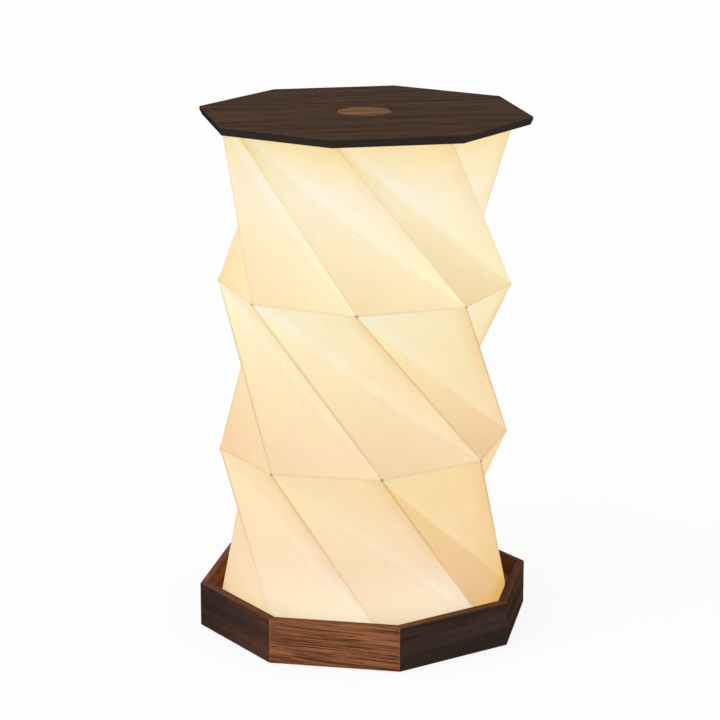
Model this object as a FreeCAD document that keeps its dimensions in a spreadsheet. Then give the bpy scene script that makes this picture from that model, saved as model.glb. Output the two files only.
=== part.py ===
"""Folding table lamp: a wooden tray, a twisted folding shade and a wooden lid with a push button.

Millimetres, +Z up, origin on the table under the middle of the tray. The front of the tray faces -Y
and its charging slot faces +Y. The lamp is drawn open.
"""
import FreeCAD, Part
import Sketcher
import math
import os

from FreeCAD import Placement, Rotation, Vector

SIDES = 8
TIERS = 3
PITCH = 360 / SIDES
UP = Vector(0, 0, 1)
HALF_PITCH = f"(180 deg / {SIDES})"
NEAR_ZERO = 1e-9

SIZES = {
    # tray rim and panel
    "tray_width": 180,
    "stave_thickness": 5.5,
    "edge_round": 0.6,
    "panel_thickness": 3,
    "panel_rebate": 2.5,
    "fit_gap": 0.15,
    "bay_height": 10.3,
    "deck_thickness": 3,
    "deck_groove": 2.5,
    # feet and the screws that close the tray
    "foot_radius": 6,
    "foot_proud": 1,
    "foot_sunk": 0.8,
    "foot_round": 0.4,
    "foot_inset": 4.85,
    "boss_inset": 14.5,
    "boss_radius": 4,
    "screw_radius": 1.45,
    "screw_head_radius": 2.8,
    "screw_length": 9,
    "screw_gap": 0.05,
    # shade
    "shade_gap": 0.4,
    "open_twist": 52.5,
    "paper_thickness": 0.4,
    "glue_flange": 9,
    # light
    "diffuser_width": 48,
    "diffuser_rise": 2.5,
    "diffuser_lap": 1.2,
    "diffuser_seat": 1.5,
    "diffuser_edge": 0.8,
    "led_board_lap": 3,
    "led_board_thickness": 1.6,
    "led_inset": 7.8,
    "led_length": 3.5,
    "led_width": 2.8,
    "led_height": 0.8,
    "led_count": 12,
    # cell
    "cell_thickness": 7,
    "cell_corner": 3,
    "cell_gap": 7.75,
    "cell_end_gap": 10.6,
    "tape_inset": 6,
    "tape_thickness": 0.6,
    # control board and charging socket
    "board_length": 46,
    "board_width": 30,
    "board_thickness": 1.2,
    "board_inset": 1,
    "board_screw_radius": 0.95,
    "board_screw_head": 1.9,
    "board_screw_cap": 1.3,
    "board_screw_length": 5,
    "board_screw_inset": 4,
    "board_boss_radius": 2.4,
    "socket_width": 9,
    "socket_height": 3.2,
    "socket_depth": 7.4,
    "socket_wall": 0.35,
    "socket_back": 1,
    "tongue_width": 6.6,
    "tongue_height": 0.7,
    "tongue_inset": 0.8,
    "port_width": 12.6,
    "port_height": 7.2,
    "coil_side": 6,
    "coil_height": 3,
    "chip_side": 4,
    "chip_height": 1,
    "plug_length": 8,
    "plug_width": 5.5,
    "plug_height": 4,
    "plug_inset": 1,
    # lead way through the deck
    "grommet_gap": 4.5,
    "grommet_bore": 1.5,
    "grommet_neck": 3,
    "grommet_flange": 4.5,
    "grommet_lip": 1.2,
    # lid
    "lid_inset": 1.5,
    "lid_thickness": 4.8,
    "lid_corner": 1.5,
    "bevel_width": 1.5,
    "bevel_height": 3,
    "lid_edge": 0.4,
    # button and switch
    "button_radius": 15.6,
    "button_gap": 0.3,
    "button_sunk": 0.15,
    "button_edge": 0.3,
    "button_travel": 0.8,
    "carrier_lap": 1.6,
    "carrier_flange": 1.2,
    "spigot_inset": 3.6,
    "spigot_rise": 0.85,
    "carrier_gap": 0.15,
    "press_gap": 0.25,
    "pod_gap": 1,
    "pod_wall": 1.5,
    "pod_floor": 1,
    "pod_rim": 0.8,
    "pod_lip": 1.6,
    "pod_screw_gap": 0.6,
    "pod_screw_radius": 0.9,
    "pod_screw_head": 1.8,
    "pod_screw_cap": 1.2,
    "pod_screw_grip": 3,
    "lead_hole_radius": 1.8,
    "lead_hole_inset": 4.7,
    "switch_board_thickness": 1,
    "switch_side": 6,
    "switch_height": 1.8,
    "switch_corner": 0.5,
    "plunger_radius": 1.6,
    "plunger_gap": 0.1,
    "plunger_hold": 0.4,
    "closing_gap": 0.7,
}
POD_SCREWS = 2
TRAY_SCREWS = 4
FEET = 4

doc = FreeCAD.newDocument("folding_lamp")
sheet = doc.addObject("Spreadsheet::Sheet", "sizes")
for row, (alias, number) in enumerate(SIZES.items(), 1):
    sheet.set(f"A{row}", alias)
    sheet.set(f"B{row}", str(number))
    sheet.setAlias(f"B{row}", alias)
doc.recompute()
pieces = []


def value(expression):
    """The number that an expression on the sheet comes to."""
    return float(sheet.evalExpression(expression))


# Sizes that follow from the driving ones, as expressions on the sheet
TRAY_APOTHEM = "(sizes.tray_width / 2)"
WELL_APOTHEM = f"({TRAY_APOTHEM} - sizes.stave_thickness)"
PANEL_APOTHEM = f"({WELL_APOTHEM} + sizes.panel_rebate - sizes.fit_gap)"
DECK_APOTHEM = f"({WELL_APOTHEM} + sizes.deck_groove - sizes.fit_gap)"
FOOT_CIRCLE = f"({PANEL_APOTHEM} - sizes.foot_inset - sizes.foot_radius)"
BOSS_CIRCLE = f"({WELL_APOTHEM} - sizes.boss_inset - sizes.boss_radius)"
PANEL_TOP = "(sizes.foot_proud + sizes.panel_thickness)"
DECK_FLOOR = f"({PANEL_TOP} + sizes.bay_height)"
DECK_TOP = f"({DECK_FLOOR} + sizes.deck_thickness)"
POD_DEPTH = (
    "(sizes.carrier_gap + sizes.carrier_flange + sizes.button_travel + sizes.press_gap"
    " + sizes.switch_height + sizes.switch_board_thickness + sizes.pod_floor)"
)
WELL_DEPTH = f"({POD_DEPTH} + sizes.diffuser_rise + sizes.closing_gap)"
STAVE_HEIGHT = f"({DECK_TOP} + {WELL_DEPTH} - sizes.foot_proud)"
SHADE_RADIUS = f"({WELL_APOTHEM} - sizes.shade_gap)"
# A twisted tier lies flat at a quarter turn, and its mountain folds keep their length
TIER_HEIGHT = f"({SHADE_RADIUS} * sqrt(2 * cos(sizes.open_twist * 1 deg)))"
LID_FLOOR = f"({DECK_TOP} + {TIERS} * {TIER_HEIGHT})"
LID_TURN = f"(-{TIERS} * sizes.open_twist * 1 deg)"
SWITCH_FLOOR = "(sizes.pod_floor + sizes.switch_board_thickness)"
SWITCH_TOP = f"({SWITCH_FLOOR} + sizes.switch_height)"
LIGHT_APOTHEM = "(sizes.diffuser_width / 2)"
WINDOW_APOTHEM = f"({LIGHT_APOTHEM} - sizes.diffuser_lap)"
LIGHT_BOARD_APOTHEM = f"({LIGHT_APOTHEM} + sizes.led_board_lap)"
CELL_MIDDLE = f"(({WELL_APOTHEM} + {LIGHT_BOARD_APOTHEM}) / 2)"
CELL_WIDTH = f"({WELL_APOTHEM} - {LIGHT_BOARD_APOTHEM} - 2 * sizes.cell_gap)"
CELL_LENGTH = f"(2 * ({BOSS_CIRCLE} * cos({HALF_PITCH} * 2) - sizes.boss_radius - sizes.cell_end_gap))"
GROMMET_MIDDLE = f"({LIGHT_BOARD_APOTHEM} + sizes.grommet_gap + sizes.grommet_flange)"
PORT_LEVEL = f"({PANEL_TOP} + sizes.bay_height / 2)"
BOARD_TOP = f"({PORT_LEVEL} - sizes.socket_height / 2)"
BOARD_MIDDLE = f"({WELL_APOTHEM} - sizes.board_inset - sizes.board_width / 2)"
LID_APOTHEM = f"({TRAY_APOTHEM} - sizes.lid_inset)"
CAP_FLOOR = "sizes.spigot_rise"
CAP_THICKNESS = f"(sizes.lid_thickness - sizes.button_sunk - {CAP_FLOOR})"
CARRIER_APOTHEM = "(sizes.button_radius + sizes.button_gap + sizes.carrier_lap)"
POD_BORE = f"({CARRIER_APOTHEM} + sizes.pod_gap)"
POD_APOTHEM = f"({POD_BORE} + sizes.pod_wall)"
POD_SCREW_REACH = f"({POD_APOTHEM} + sizes.pod_screw_gap + sizes.pod_screw_head)"
POD_FLANGE = f"({POD_SCREW_REACH} + sizes.pod_screw_head + sizes.pod_rim)"
LEAD_HOLE_REACH = f"({POD_BORE} - sizes.lead_hole_inset - sizes.lead_hole_radius)"


def bind(thing, sizes):
    """Ties properties of an object to expressions on the sheet."""
    for name, expression in sizes.items():
        thing.setExpression(name, expression)


def place(thing, x="0", y="0", z="0", turn="0 deg"):
    """Sets where a piece stands and how far it is turned about the upright axis."""
    thing.Placement = Placement(Vector(0, 0, 0), Rotation(UP, 1))
    bind(thing, {
        "Placement.Base.x": x,
        "Placement.Base.y": y,
        "Placement.Base.z": z,
        "Placement.Rotation.Angle": turn,
    })


def keep(thing, name):
    """Names a piece and puts it among the lamp's pieces."""
    thing.Label = name
    pieces.append(thing)
    return thing


def new_body(name):
    """An empty body for one piece."""
    body = doc.addObject("PartDesign::Body", name)
    body.AllowCompound = True
    return keep(body, name)


def origin_feature(body, role):
    """One of a body's own planes or axes."""
    return next(each for each in body.Origin.OriginFeatures if each.Role == role)


def new_sketch(body, plane, name, shift=None):
    """A sketch on one of a body's own planes, shifted along the plane's first axis if asked."""
    sketch = body.newObject("Sketcher::SketchObject", name)
    sketch.AttachmentSupport = [(origin_feature(body, plane), "")]
    sketch.MapMode = "FlatFace"
    if shift:
        sketch.setExpression("AttachmentOffset.Base.x", shift)
    return sketch


def pin(sketch, geometry, point, x, y):
    """Holds a point of a sketch at a place measured from the sketch's origin."""
    for kind, axis, distance in (("DistanceX", -2, x), ("DistanceY", -1, y)):
        if abs(value(distance)) < NEAR_ZERO:
            sketch.addConstraint(Sketcher.Constraint("PointOnObject", geometry, point, axis))
            continue
        limit = Sketcher.Constraint(kind, -1, 1, geometry, point, value(distance))
        index = sketch.addConstraint(limit)
        sketch.setExpression(f"Constraints[{index}]", distance)


def outline(sketch, corners):
    """A closed outline of straight sides through corners given as pairs of expressions."""
    first = sketch.GeometryCount
    spots = [Vector(value(x), value(y), 0) for x, y in corners]
    for start, end in zip(spots, spots[1:] + spots[:1]):
        sketch.addGeometry(Part.LineSegment(start, end), False)
    for side, (x, y) in enumerate(corners):
        before = first + (side - 1) % len(corners)
        sketch.addConstraint(Sketcher.Constraint("Coincident", before, 2, first + side, 1))
        pin(sketch, first + side, 1, x, y)


def rectangle(sketch, left, right, low, high):
    """A rectangle between two places across and two places up."""
    outline(sketch, [(left, low), (right, low), (right, high), (left, high)])


def middle_rectangle(sketch, x, y, width, height):
    """A rectangle about a middle point."""
    rectangle(
        sketch,
        f"{x} - {width} / 2",
        f"{x} + {width} / 2",
        f"{y} - {height} / 2",
        f"{y} + {height} / 2",
    )


def circle(sketch, x, y, radius):
    """A circle of a radius about a point."""
    spot = Vector(value(x), value(y), 0)
    index = sketch.addGeometry(Part.Circle(spot, UP, value(radius)), False)
    limit = sketch.addConstraint(Sketcher.Constraint("Radius", index, value(radius)))
    sketch.setExpression(f"Constraints[{limit}]", radius)
    pin(sketch, index, 3, x, y)


def round_slot(sketch, y, width, height):
    """A slot with round ends, level, about a point on the sketch's upright axis."""
    reach = f"({width} - {height}) / 2"
    radius = value(height) / 2
    ends = []
    for side in (1, -1):
        spot = Vector(side * value(reach), value(y), 0)
        start = -side * math.pi / 2
        arc = Part.ArcOfCircle(Part.Circle(spot, UP, radius), start, start + math.pi)
        ends.append(sketch.addGeometry(arc, False))
    right, left = ends
    for level, first, second in ((1, right, left), (-1, left, right)):
        start = Vector(level * value(reach), value(y) + level * radius, 0)
        end = Vector(-level * value(reach), value(y) + level * radius, 0)
        line = sketch.addGeometry(Part.LineSegment(start, end), False)
        sketch.addConstraint(Sketcher.Constraint("Tangent", first, 2, line, 1))
        sketch.addConstraint(Sketcher.Constraint("Tangent", line, 2, second, 1))
    limit = sketch.addConstraint(Sketcher.Constraint("Radius", right, radius))
    sketch.setExpression(f"Constraints[{limit}]", f"{height} / 2")
    pin(sketch, right, 3, reach, y)
    pin(sketch, left, 3, f"-({reach})", y)


def pad(body, sketch, length, down=False):
    """Raises a sketch into a solid."""
    feature = body.newObject("PartDesign::Pad", f"{sketch.Name}_pad")
    feature.Profile = sketch
    feature.Reversed = down
    bind(feature, {"Length": length})
    doc.recompute()
    return feature


def pocket(body, sketch, length=None, up=False):
    """Cuts a sketch out of a body, right through both ways if no depth is given."""
    whole = body.Shape.Volume
    feature = body.newObject("PartDesign::Pocket", f"{sketch.Name}_pocket")
    feature.Profile = sketch
    if length:
        feature.Reversed = up
        bind(feature, {"Length": length})
    else:
        feature.SideType = "Symmetric"
        feature.Type = "ThroughAll"
    doc.recompute()
    if body.Shape.Volume > whole - NEAR_ZERO:
        raise RuntimeError(f"{feature.Name} cuts nothing")
    return feature


def soften(body, kind, base, names, sizes):
    """A Fillet or a Chamfer on named edges or faces of a feature."""
    feature = body.newObject(f"PartDesign::{kind}", f"{base.Name}_{kind}".lower())
    feature.Base = (base, names)
    bind(feature, sizes)
    doc.recompute()
    return feature


def edge_names(feature, wanted):
    """The names of a feature's edges that a test accepts."""
    return [f"Edge{n}" for n, edge in enumerate(feature.Shape.Edges, 1) if wanted(edge)]


def level_face(feature, level):
    """The name of the largest flat face of a feature at a level."""
    found = [
        (face.Area, f"Face{n}")
        for n, face in enumerate(feature.Shape.Faces, 1)
        if abs(face.BoundBox.ZMin - level) + abs(face.BoundBox.ZMax - level) < 1e-6
    ]
    return max(found)[1]


def is_upright(edge):
    """Whether an edge runs straight up."""
    return abs(edge.tangentAt(edge.FirstParameter).z) > 1 - 1e-6


def octagon(body, name, apothem, low, height, cut=False):
    """An octagonal plate with flats to the axes, from a level up, added to a body or cut out of it."""
    kind = "Subtractive" if cut else "Additive"
    plate = body.newObject(f"PartDesign::{kind}Prism", name)
    plate.AttachmentSupport = [(origin_feature(body, "XY_Plane"), "")]
    plate.MapMode = "FlatFace"
    plate.AttachmentOffset = Placement(Vector(0, 0, 0), Rotation(UP, PITCH / 2))
    plate.Polygon = SIDES
    bind(plate, {
        "AttachmentOffset.Base.z": low,
        "Circumradius": f"{apothem} / cos({HALF_PITCH})",
        "Height": height,
    })
    doc.recompute()
    return plate


def polar(body, feature, copies):
    """Repeats a feature about the body's upright axis."""
    pattern = body.newObject("PartDesign::PolarPattern", f"{feature.Name}_ring")
    pattern.Originals = [feature]
    pattern.Axis = (origin_feature(body, "Z_Axis"), [""])
    pattern.Angle = 360
    if isinstance(copies, str):
        pattern.setExpression("Occurrences", copies)
    else:
        pattern.Occurrences = copies
    body.Tip = pattern
    doc.recompute()
    return pattern


def mirrored(body, feature):
    """Repeats a feature on the other side of the body's middle plane."""
    pattern = body.newObject("PartDesign::Mirrored", f"{feature.Name}_pair")
    pattern.Originals = [feature]
    pattern.MirrorPlane = (origin_feature(body, "YZ_Plane"), [""])
    body.Tip = pattern
    doc.recompute()
    return pattern


def turned(name, profile, spot=None):
    """A turned piece: a half section of radius and height pairs, about an axis that may stand aside."""
    body = new_body(name)
    sketch = new_sketch(body, "XZ_Plane", f"{name}_section", spot)
    outline(sketch, profile)
    feature = body.newObject("PartDesign::Revolution", f"{name}_turn")
    feature.Profile = sketch
    feature.ReferenceAxis = (sketch, ["V_Axis"])
    feature.Angle = 360
    doc.recompute()
    return body, feature


def box(name, x, y, z, length, width, height):
    """A plain block about a middle point, standing on a level."""
    block = doc.addObject("Part::Box", name)
    bind(block, {"Length": length, "Width": width, "Height": height})
    place(block, f"{x} - {length} / 2", f"{y} - {width} / 2", z)
    return block


# Tray

def make_stave(number):
    """One mitred stave of the rim, drawn at the front of the tray and turned to its side."""
    name = f"rim_stave_{number}"
    body = new_body(name)
    plan = new_sketch(body, "XY_Plane", f"{name}_plan")
    long_half = f"{TRAY_APOTHEM} * tan({HALF_PITCH})"
    short_half = f"{WELL_APOTHEM} * tan({HALF_PITCH})"
    outline(plan, [
        (f"-{long_half}", f"-{TRAY_APOTHEM}"),
        (long_half, f"-{TRAY_APOTHEM}"),
        (short_half, f"-{WELL_APOTHEM}"),
        (f"-{short_half}", f"-{WELL_APOTHEM}"),
    ])
    solid = pad(body, plan, STAVE_HEIGHT)
    top = value(STAVE_HEIGHT)

    def is_rim_edge(edge):
        along = abs(edge.tangentAt(edge.FirstParameter).x) > 1 - 1e-6
        return along and abs(edge.BoundBox.ZMin - top) < 1e-6

    solid = soften(body, "Fillet", solid, edge_names(solid, is_rim_edge), {"Radius": "sizes.edge_round"})
    channels = new_sketch(body, "YZ_Plane", f"{name}_channels")
    inside = f"-{WELL_APOTHEM} + sizes.stave_thickness"
    rebate = f"-{WELL_APOTHEM} - sizes.panel_rebate"
    rectangle(channels, rebate, inside, "-sizes.panel_thickness", "sizes.panel_thickness")
    groove = f"-{WELL_APOTHEM} - sizes.deck_groove"
    deck_low = f"{DECK_FLOOR} - sizes.foot_proud"
    rectangle(channels, groove, inside, deck_low, f"{deck_low} + sizes.deck_thickness")
    pocket(body, channels)
    turn = (number - 1) * PITCH
    if turn == 180:
        port = new_sketch(body, "XZ_Plane", f"{name}_port")
        round_slot(port, f"{PORT_LEVEL} - sizes.foot_proud", "sizes.port_width", "sizes.port_height")
        pocket(body, port)
    place(body, z="sizes.foot_proud", turn=f"{turn} deg")


def make_bottom_panel():
    """The panel under the tray, countersunk for its screws and recessed for the feet."""
    body = new_body("bottom_panel")
    octagon(body, "panel_plate", PANEL_APOTHEM, "0", "sizes.panel_thickness")
    spots = new_sketch(body, "XY_Plane", "panel_screw_spots", f"{BOSS_CIRCLE} * cos({HALF_PITCH} * 2)")
    bind(spots, {"AttachmentOffset.Base.y": f"{BOSS_CIRCLE} * sin({HALF_PITCH} * 2)"})
    circle(spots, "0", "0", "sizes.screw_radius")
    doc.recompute()
    hole = body.newObject("PartDesign::Hole", "panel_screw_hole")
    hole.Profile = spots
    hole.Reversed = True
    hole.ThreadType = "None"
    hole.DepthType = "ThroughAll"
    hole.HoleCutType = "Countersink"
    hole.HoleCutCustomValues = True
    bind(hole, {
        "Diameter": "2 * (sizes.screw_radius + sizes.screw_gap)",
        "HoleCutDiameter": "2 * (sizes.screw_head_radius + sizes.screw_gap)",
    })
    hole.HoleCutCountersinkAngle = 90
    polar(body, hole, TRAY_SCREWS)
    seats = new_sketch(body, "XY_Plane", "foot_seat", FOOT_CIRCLE)
    circle(seats, "0", "0", "sizes.foot_radius + sizes.fit_gap")
    polar(body, pocket(body, seats, "sizes.foot_sunk", up=True), FEET)
    place(body, z="sizes.foot_proud")


def make_feet():
    """Round rubber pads let into the panel."""
    height = "(sizes.foot_proud + sizes.foot_sunk)"
    body, foot = turned("feet", [
        ("0", "0"),
        ("sizes.foot_radius - sizes.foot_round", "0"),
        ("sizes.foot_radius", "sizes.foot_round"),
        ("sizes.foot_radius", height),
        ("0", height),
    ], FOOT_CIRCLE)
    polar(body, foot, FEET)
    place(body)


def make_bottom_screws():
    """Countersunk screws from under the panel into the deck's posts."""
    cone = "(sizes.screw_head_radius - sizes.screw_radius)"
    body, screw = turned("bottom_screws", [
        ("0", "0"),
        ("sizes.screw_head_radius", "0"),
        ("sizes.screw_radius", cone),
        ("sizes.screw_radius", "sizes.screw_length"),
        ("0", "sizes.screw_length"),
    ], BOSS_CIRCLE)
    polar(body, screw, TRAY_SCREWS)
    place(body, z="sizes.foot_proud", turn=f"{HALF_PITCH} * 2")


def make_deck():
    """The raised deck: a plate held in the rim's groove, with posts below and a seat for the light."""
    body = new_body("deck")
    octagon(body, "deck_plate", DECK_APOTHEM, "0", "sizes.deck_thickness")
    octagon(body, "light_window", WINDOW_APOTHEM, "0", "sizes.deck_thickness", cut=True)
    seat_floor = "sizes.deck_thickness - sizes.diffuser_seat"
    seat_apothem = f"({LIGHT_APOTHEM} + sizes.fit_gap)"
    octagon(body, "light_seat", seat_apothem, seat_floor, "sizes.diffuser_seat", cut=True)
    way = new_sketch(body, "XY_Plane", "lead_way")
    circle(way, "0", GROMMET_MIDDLE, "sizes.grommet_neck + sizes.fit_gap")
    pocket(body, way)
    post = new_sketch(body, "XY_Plane", "post_plan", f"{BOSS_CIRCLE} * cos({HALF_PITCH} * 2)")
    bind(post, {"AttachmentOffset.Base.y": f"{BOSS_CIRCLE} * sin({HALF_PITCH} * 2)"})
    circle(post, "0", "0", "sizes.boss_radius")
    circle(post, "0", "0", "sizes.screw_radius + sizes.screw_gap")
    polar(body, pad(body, post, "sizes.bay_height - sizes.fit_gap", down=True), TRAY_SCREWS)
    lug = new_sketch(body, "XY_Plane", "board_post_plan", "sizes.board_length / 2 - sizes.board_screw_inset")
    circle(lug, "0", BOARD_MIDDLE, "sizes.board_boss_radius")
    circle(lug, "0", BOARD_MIDDLE, "sizes.board_screw_radius + sizes.screw_gap")
    mirrored(body, pad(body, lug, f"{DECK_FLOOR} - {BOARD_TOP}", down=True))
    place(body, z=DECK_FLOOR)


# Light

def make_light():
    """The light board under the deck's window, its chips, and the opal plate over them."""
    board = new_body("led_board")
    octagon(board, "led_board_plate", LIGHT_BOARD_APOTHEM, "0", "sizes.led_board_thickness")
    place(board, z=f"{DECK_FLOOR} - sizes.led_board_thickness")
    chips = new_body("led_chips")
    plan = new_sketch(chips, "XY_Plane", "chip_plan")
    chip_reach = f"({WINDOW_APOTHEM} - sizes.led_inset)"
    middle_rectangle(plan, chip_reach, "0", "sizes.led_width", "sizes.led_length")
    polar(chips, pad(chips, plan, "sizes.led_height"), "sizes.led_count")
    place(chips, z=DECK_FLOOR)
    height = "(sizes.diffuser_seat + sizes.diffuser_rise)"
    opal = new_body("led_diffuser")
    plate = octagon(opal, "led_diffuser_plate", LIGHT_APOTHEM, "0", height)
    soften(opal, "Chamfer", plate, [level_face(plate, value(height))], {"Size": "sizes.diffuser_edge"})
    place(opal, z=f"{DECK_TOP} - sizes.diffuser_seat")


def make_cell():
    """The flat cell under the front of the deck and the pad that holds it up."""
    cell_top = f"({DECK_FLOOR} - sizes.tape_thickness)"
    body = new_body("battery_pack")
    plan = new_sketch(body, "XY_Plane", "cell_plan")
    middle_rectangle(plan, "0", f"-{CELL_MIDDLE}", CELL_LENGTH, CELL_WIDTH)
    solid = pad(body, plan, "sizes.cell_thickness")
    soften(body, "Fillet", solid, edge_names(solid, is_upright), {"Radius": "sizes.cell_corner"})
    place(body, z=f"{cell_top} - sizes.cell_thickness")
    tape = box(
        "battery_tape",
        "0",
        f"-{CELL_MIDDLE}",
        cell_top,
        f"({CELL_LENGTH} - 2 * sizes.tape_inset)",
        f"({CELL_WIDTH} - 2 * sizes.tape_inset)",
        "sizes.tape_thickness",
    )
    keep(tape, "battery_tape")


# Charging and control

def make_control_board():
    """The board under the back of the deck, with a hole for each of its two screws."""
    body = new_body("control_board")
    plan = new_sketch(body, "XY_Plane", "board_plan")
    middle_rectangle(plan, "0", BOARD_MIDDLE, "sizes.board_length", "sizes.board_width")
    reach = "sizes.board_length / 2 - sizes.board_screw_inset"
    for side in ("", "-"):
        circle(plan, f"{side}({reach})", BOARD_MIDDLE, "sizes.board_screw_radius + sizes.screw_gap")
    pad(body, plan, "sizes.board_thickness")
    place(body, z=f"{BOARD_TOP} - sizes.board_thickness")


def make_board_screws():
    """Two pan-head screws that hold the board up to the deck's lugs."""
    grip = "(sizes.board_screw_cap + sizes.board_screw_length)"
    body, screw = turned("board_screws", [
        ("0", "0"),
        ("sizes.board_screw_head", "0"),
        ("sizes.board_screw_head", "sizes.board_screw_cap"),
        ("sizes.board_screw_radius", "sizes.board_screw_cap"),
        ("sizes.board_screw_radius", grip),
        ("0", grip),
    ], "sizes.board_length / 2 - sizes.board_screw_inset")
    mirrored(body, screw)
    place(body, y=BOARD_MIDDLE, z=f"{BOARD_TOP} - sizes.board_thickness - sizes.board_screw_cap")


def make_board_parts():
    """The larger parts that stand on the board: a coil, two chips and two lead plugs."""
    inner = f"({BOARD_MIDDLE} - sizes.board_width / 2)"
    plug_y = f"{inner} + sizes.plug_inset + sizes.plug_width / 2"
    plug_x = "sizes.plug_length"
    chip_x = "sizes.coil_side / 2 + sizes.chip_side"
    blocks = [
        box("coil", "0", BOARD_MIDDLE, BOARD_TOP, "sizes.coil_side", "sizes.coil_side", "sizes.coil_height")
    ]
    for side in ("", "-"):
        blocks.append(box(
            "chip", f"{side}({chip_x})", BOARD_MIDDLE, BOARD_TOP,
            "sizes.chip_side", "sizes.chip_side", "sizes.chip_height",
        ))
        blocks.append(box(
            "lead_plug", f"{side}({plug_x})", plug_y, BOARD_TOP,
            "sizes.plug_length", "sizes.plug_width", "sizes.plug_height",
        ))
    group = doc.addObject("Part::Compound", "board_parts")
    group.Links = blocks
    keep(group, "board_parts")


def make_charge_socket():
    """The charging socket on the board, its mouth just inside the slot in the rear stave."""
    body = new_body("charge_socket")
    shell = new_sketch(body, "XZ_Plane", "socket_shell")
    round_slot(shell, "0", "sizes.socket_width", "sizes.socket_height")
    pad(body, shell, "sizes.socket_depth")
    mouth = new_sketch(body, "XZ_Plane", "socket_mouth")
    bore = "(sizes.socket_height - 2 * sizes.socket_wall)"
    round_slot(mouth, "0", "sizes.socket_width - 2 * sizes.socket_wall", bore)
    pocket(body, mouth, "sizes.socket_depth - sizes.socket_back", up=True)
    tongue = new_sketch(body, "XZ_Plane", "socket_tongue")
    bind(tongue, {"AttachmentOffset.Base.z": "sizes.tongue_inset"})
    middle_rectangle(tongue, "0", "0", "sizes.tongue_width", "sizes.tongue_height")
    pad(body, tongue, "sizes.socket_depth - sizes.tongue_inset - sizes.socket_back / 2")
    place(body, y=f"{WELL_APOTHEM} - sizes.fit_gap", z=PORT_LEVEL)


def make_grommet():
    """The flanged bush in the deck that the lead to the lid's switch comes up through."""
    body, _ = turned("lead_grommet", [
        ("sizes.grommet_bore", "-sizes.deck_thickness"),
        ("sizes.grommet_neck", "-sizes.deck_thickness"),
        ("sizes.grommet_neck", "0"),
        ("sizes.grommet_flange", "0"),
        ("sizes.grommet_flange", "sizes.grommet_lip"),
        ("sizes.grommet_bore", "sizes.grommet_lip"),
    ])
    place(body, y=GROMMET_MIDDLE, z=DECK_TOP)


# Shade

def ring(number, spread=1.0, level=None):
    """The corners of a fold ring, counted up from the deck, each ring turned back from the one below."""
    radius = value(SHADE_RADIUS) * spread
    height = number * value(TIER_HEIGHT) if level is None else level
    turn = PITCH / 2 - number * value("sizes.open_twist")
    corners = []
    for corner in range(SIDES):
        angle = math.radians(turn + corner * PITCH)
        corners.append(Vector(radius * math.sin(angle), -radius * math.cos(angle), height))
    return corners


def tower(rings):
    """A closed solid of twisted tiers: mountain folds join corners alike, valley folds lead one further."""
    faces = []
    for lower, upper in zip(rings, rings[1:]):
        for corner in range(SIDES):
            after = (corner + 1) % SIDES
            below = [upper[corner], lower[corner], lower[after], upper[corner]]
            above = [upper[corner], lower[after], upper[after], upper[corner]]
            faces += [Part.Face(Part.makePolygon(below)), Part.Face(Part.makePolygon(above))]
    for end in (rings[0], rings[-1]):
        faces.append(Part.Face(Part.makePolygon(end + end[:1])))
    solid = Part.makeSolid(Part.makeShell(faces))
    if solid.Volume < 0:
        solid.reverse()
    return solid


def flange_hole(number, level, height):
    """The opening that a glue flange leaves at one end of the sheet."""
    spread = 1 - value("sizes.glue_flange") / value(f"{SHADE_RADIUS} * cos({HALF_PITCH})")
    corners = ring(number, spread, level)
    return Part.Face(Part.makePolygon(corners + corners[:1])).extrude(Vector(0, 0, height))


def make_shade():
    """One folded sheet: twisted tiers between the deck and the lid, with a glue flange at each end."""
    paper = value("sizes.paper_thickness")
    height = TIERS * value(TIER_HEIGHT)
    waist = value(f"{SHADE_RADIUS} * cos((sizes.open_twist * 1 deg + 2 * {HALF_PITCH}) / 2)")
    spread = 1 - paper / waist
    shrink = 1 - 2 * paper / height
    numbers = range(TIERS + 1)
    inner = [ring(n, spread, paper + shrink * n * value(TIER_HEIGHT)) for n in numbers]
    shape = tower([ring(n) for n in numbers]).cut(tower(inner))
    shape = shape.cut(flange_hole(0, 0, paper)).cut(flange_hole(TIERS, height - paper, paper))
    shade = doc.addObject("Part::Feature", "shade")
    shade.Shape = shape.Solids[0]
    place(shade, z=DECK_TOP)
    keep(shade, "shade")


# Lid, switch and button

def on_lid(thing, z="0"):
    """Stands a piece at a height over the lid's underside, turned with the lid."""
    place(thing, z=f"{LID_FLOOR} + {z}", turn=LID_TURN)


def make_lid():
    """The octagonal lid, undercut all round, bored for the button and drilled for the pod's screws."""
    body = new_body("lid_plate")
    solid = octagon(body, "lid_board", LID_APOTHEM, "0", "sizes.lid_thickness")
    solid = soften(body, "Fillet", solid, edge_names(solid, is_upright), {"Radius": "sizes.lid_corner"})
    solid = soften(body, "Chamfer", solid, [level_face(solid, 0)], {
        "Size": "sizes.bevel_height",
        "Size2": "sizes.bevel_width",
    })
    solid.ChamferType = "Two distances"
    doc.recompute()
    top = level_face(solid, value("sizes.lid_thickness"))
    soften(body, "Chamfer", solid, [top], {"Size": "sizes.lid_edge"})
    bore = new_sketch(body, "XY_Plane", "button_bore")
    circle(bore, "0", "0", "sizes.button_radius + sizes.button_gap")
    pocket(body, bore)
    pilot = new_sketch(body, "XY_Plane", "pod_screw_pilot", POD_SCREW_REACH)
    circle(pilot, "0", "0", "sizes.pod_screw_radius + sizes.screw_gap")
    polar(body, pocket(body, pilot, "sizes.pod_screw_grip + sizes.fit_gap", up=True), POD_SCREWS)
    on_lid(body)


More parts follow.
